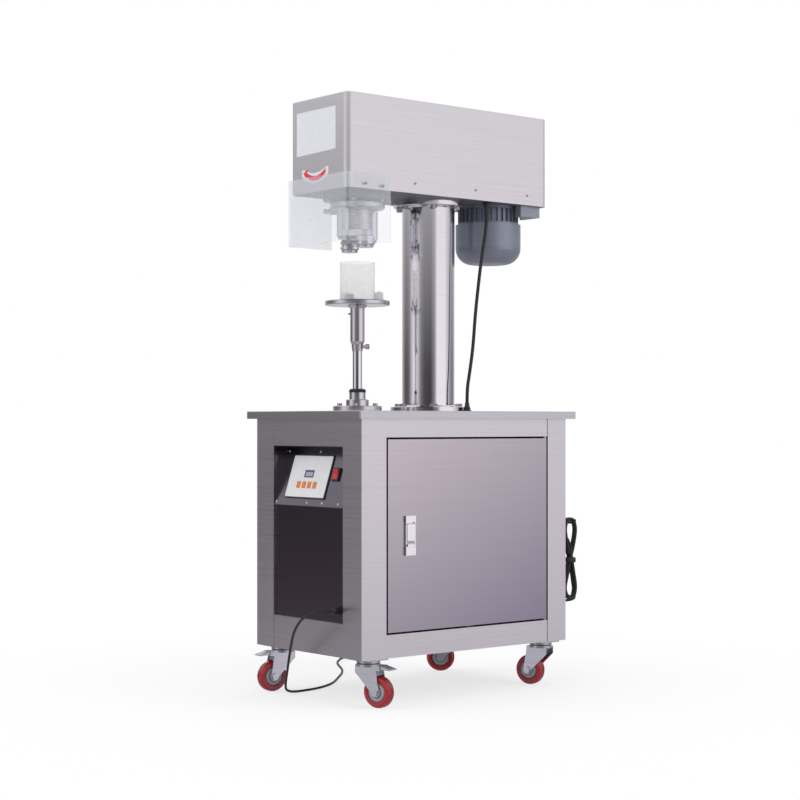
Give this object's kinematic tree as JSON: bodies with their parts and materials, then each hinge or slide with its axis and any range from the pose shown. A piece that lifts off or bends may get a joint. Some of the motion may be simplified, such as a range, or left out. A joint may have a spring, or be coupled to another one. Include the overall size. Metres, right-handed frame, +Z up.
{
  "type": "can seamer",
  "caption": "Pedestal can seamer: steel cabinet on swivel casters, column-mounted drive head with turning seaming turret, clear guard, lift post with can tray, sloping keypad and foot switch.",
  "frame": {"origin": "on the floor under the middle of the machine without its free cords", "axes": "+Z up, +Y from the operator to the back, +X to the operator's right, where the door is"},
  "size_m": [0.8605, 0.8818, 1.552],
  "materials": {
    "brushed_sheet": "brushed",
    "floor_sheet": "brushed",
    "table_steel": "satin",
    "dark_panel": "polished",
    "keypad": "gloss",
    "bezel": "gloss",
    "key_caps": "satin",
    "bolt_steel": "turned",
    "polished_column": "polished",
    "wiper_rubber": "matte",
    "cylinder_aluminium": "satin",
    "cast_base": "machined",
    "turret_steel": "turned",
    "roller_steel": "ground",
    "motor_paint": "satin",
    "cowl_paint": "satin",
    "guard_acrylic": "clear",
    "gland_plastic": "matte",
    "belt_rubber": "matte",
    "switch_plastic": "matte",
    "pedal_plastic": "matte",
    "lead_rubber": "matte",
    "plug_plastic": "satin",
    "latch_chrome": "polished",
    "rod_chrome": "ground",
    "tray_steel": "turned",
    "nylon": "satin",
    "can_clear": "clear",
    "pulley_aluminium": "turned",
    "rocker_red": "gloss",
    "fork_zinc": "zinc plated",
    "brake_red": "satin",
    "wheel_tread": "satin"
  },
  "bodies": {
    "machine": {"cabinet_frame": "brushed_sheet", "side_rear_panels": "brushed_sheet", "cabinet_floor": "floor_sheet", "table_top": "table_steel", "front_panel": "dark_panel", "control_box": "brushed_sheet", "keypad_plate": "keypad", "switch_bezel": "bezel", "flange_bolts": "bolt_steel", "door_hinges": "bolt_steel", "column": "polished_column", "lift_housing": "bolt_steel", "lift_wiper": "wiper_rubber", "lift_cylinder": "cylinder_aluminium", "head_cover": "brushed_sheet", "head_base": "cast_base", "chuck": "bolt_steel", "motor_body": "motor_paint", "motor_cowl": "cowl_paint", "motor_box": "motor_paint", "guard": "guard_acrylic", "cable_glands": "gland_plastic", "caster_plates": "bolt_steel", "drive_belt": "belt_rubber", "foot_switch_base": "switch_plastic", "foot_lead": "lead_rubber", "motor_cable": "lead_rubber", "mains_hank": "lead_rubber", "mains_lead": "lead_rubber", "mains_plug": "plug_plastic"},
    "door_leaf": {"door": "brushed_sheet", "latch_base": "latch_chrome"},
    "latch": {"latch_lever": "latch_chrome"},
    "lift": {"lift_rod": "rod_chrome"},
    "tray_unit": {"tray": "tray_steel", "locating_blocks": "nylon"},
    "thumb": {"thumb_screw": "bolt_steel"},
    "can_body": {"can": "can_clear"},
    "turret_head": {"turret": "turret_steel"},
    "lever_1": {"roller_lever_1": "bolt_steel"},
    "lever_2": {"roller_lever_2": "bolt_steel"},
    "roller_1": {"seaming_roller_1": "roller_steel"},
    "roller_2": {"seaming_roller_2": "roller_steel"},
    "motor_rotor": {"motor_pulley": "pulley_aluminium"},
    "rocker_switch": {"rocker": "rocker_red"},
    "key_1": {"button_1": "key_caps"},
    "key_2": {"button_2": "key_caps"},
    "key_3": {"button_3": "key_caps"},
    "key_4": {"button_4": "key_caps"},
    "fork_fl": {"caster_fork_front_left": "fork_zinc"},
    "fork_fr": {"caster_fork_front_right": "fork_zinc"},
    "fork_rl": {"caster_fork_rear_left": "fork_zinc"},
    "fork_rr": {"caster_fork_rear_right": "fork_zinc"},
    "wheel_fl": {"caster_wheel_front_left": "wheel_tread"},
    "wheel_fr": {"caster_wheel_front_right": "wheel_tread"},
    "wheel_rl": {"caster_wheel_rear_left": "wheel_tread"},
    "wheel_rr": {"caster_wheel_rear_right": "wheel_tread"},
    "brake_fl": {"brake_pedal_front_left": "brake_red"},
    "brake_fr": {"brake_pedal_front_right": "brake_red"},
    "pedal": {"foot_pedal": "pedal_plastic"}
  },
  "joints": [
    {"name": "door_hinge", "type": "hinge", "parent": "machine", "child": "door_leaf", "pos_m": [0.221, 0.2715, 0.42], "axis": [0, 0, 1], "range_deg": [0, 110]},
    {"name": "latch_turn", "type": "hinge", "parent": "door_leaf", "child": "latch", "pos_m": [0.2291, -0.2035, 0.456], "axis": [0, -1, 0], "range_deg": [0, 60]},
    {"name": "lift", "type": "slide", "parent": "machine", "child": "lift", "axis": [0, 0, 1], "range_m": [0, 0.05]},
    {"name": "tray_height", "type": "slide", "parent": "lift", "child": "tray_unit", "axis": [0, 0, 1], "range_m": [-0.06, 0]},
    {"name": "thumb_screw_turn", "type": "hinge", "parent": "tray_unit", "child": "thumb", "pos_m": [0.01286, -0.18677, 0.911], "axis": [0.8572, 0.515, 0], "continuous": true},
    {"name": "can_out", "type": "slide", "parent": "tray_unit", "child": "can_body", "axis": [0, -1, 0], "range_m": [0, 0.3]},
    {"name": "turret_spin", "type": "hinge", "parent": "machine", "child": "turret_head", "pos_m": [0, -0.1945, 1.309], "axis": [0, 0, 1], "continuous": true},
    {"name": "motor_spin", "type": "hinge", "parent": "machine", "child": "motor_rotor", "pos_m": [0, 0.2675, 1.309], "axis": [0, 0, 1], "continuous": true},
    {"name": "lever_1_swing", "type": "hinge", "parent": "turret_head", "child": "lever_1", "pos_m": [0.01265, -0.2511, 1.229], "axis": [0, 0, 1], "range_deg": [0, 4.3]},
    {"name": "roller_1_spin", "type": "hinge", "parent": "lever_1", "child": "roller_1", "pos_m": [0.06934, -0.22308, 1.183], "axis": [0, 0, 1], "continuous": true},
    {"name": "lever_2_swing", "type": "hinge", "parent": "turret_head", "child": "lever_2", "pos_m": [-0.01265, -0.1379, 1.229], "axis": [0, 0, 1], "range_deg": [0, 4.3]},
    {"name": "roller_2_spin", "type": "hinge", "parent": "lever_2", "child": "roller_2", "pos_m": [-0.06934, -0.16592, 1.183], "axis": [0, 0, 1], "continuous": true},
    {"name": "rocker_tilt", "type": "hinge", "parent": "machine", "child": "rocker_switch", "pos_m": [0.089, -0.33182, 0.58057], "axis": [-1, 0, 0], "range_deg": [0, 9]},
    {"name": "key_1_press", "type": "slide", "parent": "machine", "child": "key_1", "axis": [0, 0.9511, -0.3088], "range_m": [0, 0.0007], "stiffness_N_per_m": 400},
    {"name": "key_2_press", "type": "slide", "parent": "machine", "child": "key_2", "axis": [0, 0.9511, -0.3088], "range_m": [0, 0.0007], "stiffness_N_per_m": 400},
    {"name": "key_3_press", "type": "slide", "parent": "machine", "child": "key_3", "axis": [0, 0.9511, -0.3088], "range_m": [0, 0.0007], "stiffness_N_per_m": 400},
    {"name": "key_4_press", "type": "slide", "parent": "machine", "child": "key_4", "axis": [0, 0.9511, -0.3088], "range_m": [0, 0.0007], "stiffness_N_per_m": 400},
    {"name": "swivel_fl", "type": "hinge", "parent": "machine", "child": "fork_fl", "pos_m": [-0.184, -0.3035, 0.105], "axis": [0, 0, 1], "continuous": true},
    {"name": "wheel_fl_roll", "type": "hinge", "parent": "fork_fl", "child": "wheel_fl", "pos_m": [-0.18845, -0.33519, 0.04], "axis": [0.9903, -0.1392, 0], "continuous": true},
    {"name": "brake_fl_press", "type": "hinge", "parent": "fork_fl", "child": "brake_fl", "pos_m": [-0.18971, -0.3441, 0.1017], "axis": [0.9903, -0.1392, 0], "range_deg": [0, 5]},
    {"name": "swivel_fr", "type": "hinge", "parent": "machine", "child": "fork_fr", "pos_m": [0.184, -0.3035, 0.105], "axis": [0, 0, 1], "continuous": true},
    {"name": "wheel_fr_roll", "type": "hinge", "parent": "fork_fr", "child": "wheel_fr", "pos_m": [0.2146, -0.29414, 0.04], "axis": [-0.2924, 0.9563, 0], "continuous": true},
    {"name": "brake_fr_press", "type": "hinge", "parent": "fork_fr", "child": "brake_fr", "pos_m": [0.22321, -0.29151, 0.1017], "axis": [-0.2924, 0.9563, 0], "range_deg": [0, 5]},
    {"name": "swivel_rl", "type": "hinge", "parent": "machine", "child": "fork_rl", "pos_m": [-0.184, 0.2935, 0.105], "axis": [0, 0, 1], "continuous": true},
    {"name": "wheel_rl_roll", "type": "hinge", "parent": "fork_rl", "child": "wheel_rl", "pos_m": [-0.20457, 0.26899, 0.04], "axis": [0.766, -0.6428, 0], "continuous": true},
    {"name": "swivel_rr", "type": "hinge", "parent": "machine", "child": "fork_rr", "pos_m": [0.184, 0.2935, 0.105], "axis": [0, 0, 1], "continuous": true},
    {"name": "wheel_rr_roll", "type": "hinge", "parent": "fork_rr", "child": "wheel_rr", "pos_m": [0.15324, 0.28468, 0.04], "axis": [0.2756, -0.9613, 0], "continuous": true},
    {"name": "foot_pedal_press", "type": "hinge", "parent": "machine", "child": "pedal", "pos_m": [-0.555, 0.3655, 0.026], "axis": [1, 0, 0], "range_deg": [0, 4], "stiffness_Nm_per_rad": 8}
  ],
  "couplings": [
    {"joint": "motor_spin", "follows": "turret_spin", "ratio": 2}
  ]
}
